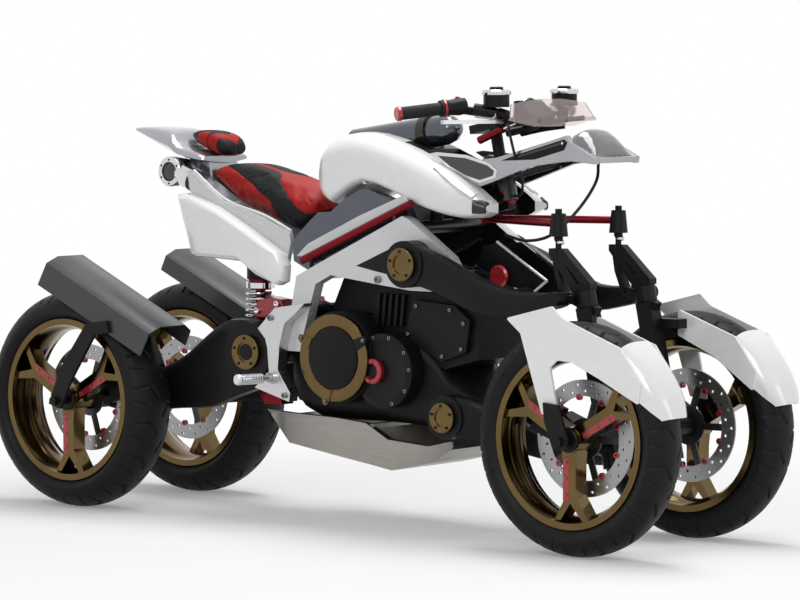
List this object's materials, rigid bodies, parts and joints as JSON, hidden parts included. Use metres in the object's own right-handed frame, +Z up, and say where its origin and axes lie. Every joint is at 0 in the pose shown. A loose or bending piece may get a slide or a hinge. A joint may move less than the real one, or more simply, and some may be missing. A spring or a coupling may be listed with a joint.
{
  "type": "leaning four-wheel motorcycle",
  "caption": "Tilting motorcycle with a pair of steered wheels in front and a pair behind, forged suspension arms, slim bodywork and a stepped seat.",
  "frame": {"origin": "on the ground under the middle of the vehicle", "axes": "+X forward, +Y to the rider's left, +Z up"},
  "size_m": [2.3657, 0.76, 1.178],
  "materials": {
    "frame_silver": "satin silver-white",
    "red_anodised": "anodised dark red",
    "machined": "machined",
    "black_metal": "satin black",
    "gold": "anodised bronze gold",
    "brushed": "brushed",
    "pearl_white": "gloss pearl",
    "slate": "metallic blue-grey",
    "lens": "smoked",
    "silver": "polished satin",
    "clear": "clear",
    "seat_leather": "red and black",
    "chrome": "polished",
    "dark_grey": "semi-gloss dark grey",
    "rubber": "matt",
    "dark_metal": "satin",
    "tyre": "matt",
    "disc_steel": "ground"
  },
  "bodies": {
    "chassis": {"frame": "frame_silver", "frame_tubes": "red_anodised", "pivot_plates": "machined", "foot_pegs": "machined", "engine": "black_metal", "gold_caps": "gold", "belly_pan": "brushed", "tank_cover": "pearl_white", "tank_panels": "slate", "headlamps": "lens", "front_cowl": "silver", "cowl_lens": "clear", "seat": "seat_leather", "pillion_seat": "seat_leather", "seat_rails": "silver", "side_covers": "pearl_white", "tail_cowl": "silver", "silencers": "chrome", "intake_tube": "slate", "upper_arms": "black_metal", "lower_arms": "black_metal", "rear_arms": "black_metal", "rear_shock": "red_anodised", "front_shock": "red_anodised", "rear_huggers": "dark_grey"},
    "steering": {"handlebar": "black_metal", "grips": "rubber", "controls": "dark_metal", "reservoirs": "black_metal", "windscreen": "clear"},
    "rods": {"track_rods": "red_anodised", "rod_ends": "black_metal"},
    "knuckle_right": {"upright_right": "black_metal", "front_fender_right": "pearl_white"},
    "knuckle_left": {"upright_left": "black_metal", "front_fender_left": "pearl_white"},
    "wheel_front_right": {"front_tyre_right": "tyre", "front_wheel_right": "gold", "front_disc_right": "disc_steel"},
    "wheel_front_left": {"front_tyre_left": "tyre", "front_wheel_left": "gold", "front_disc_left": "disc_steel"},
    "wheel_rear_right": {"rear_tyre_right": "tyre", "rear_wheel_right": "gold", "rear_disc_right": "disc_steel"},
    "wheel_rear_left": {"rear_tyre_left": "tyre", "rear_wheel_left": "gold", "rear_disc_left": "disc_steel"}
  },
  "joints": [
    {"name": "steer", "type": "hinge", "parent": "chassis", "child": "steering", "pos_m": [0.63435, 0, 0], "axis": [-0.2079, 0, 0.9781], "range_deg": [-20, 20]},
    {"name": "rod_pivot", "type": "hinge", "parent": "steering", "child": "rods", "pos_m": [0.58055, 0, -0.01144], "axis": [-0.2079, 0, 0.9781], "range_deg": [-20, 20]},
    {"name": "kingpin_right", "type": "hinge", "parent": "chassis", "child": "knuckle_right", "pos_m": [0.93985, -0.131, 0], "axis": [-0.2079, 0, 0.9781], "range_deg": [-20, 20]},
    {"name": "kingpin_left", "type": "hinge", "parent": "chassis", "child": "knuckle_left", "pos_m": [0.93985, 0.131, 0], "axis": [-0.2079, 0, 0.9781], "range_deg": [-20, 20]},
    {"name": "spin_front_right", "type": "hinge", "parent": "knuckle_right", "child": "wheel_front_right", "pos_m": [0.87209, -0.253, 0.3], "axis": [0, 1, 0], "continuous": true},
    {"name": "spin_front_left", "type": "hinge", "parent": "knuckle_left", "child": "wheel_front_left", "pos_m": [0.87209, 0.253, 0.3], "axis": [0, 1, 0], "continuous": true},
    {"name": "spin_rear_right", "type": "hinge", "parent": "chassis", "child": "wheel_rear_right", "pos_m": [-0.87791, -0.245, 0.305], "axis": [0, 1, 0], "continuous": true},
    {"name": "spin_rear_left", "type": "hinge", "parent": "chassis", "child": "wheel_rear_left", "pos_m": [-0.87791, 0.245, 0.305], "axis": [0, 1, 0], "continuous": true}
  ],
  "couplings": [
    {"joint": "rod_pivot", "follows": "steer", "ratio": -1},
    {"joint": "kingpin_right", "follows": "steer", "ratio": 1},
    {"joint": "kingpin_left", "follows": "steer", "ratio": 1}
  ]
}
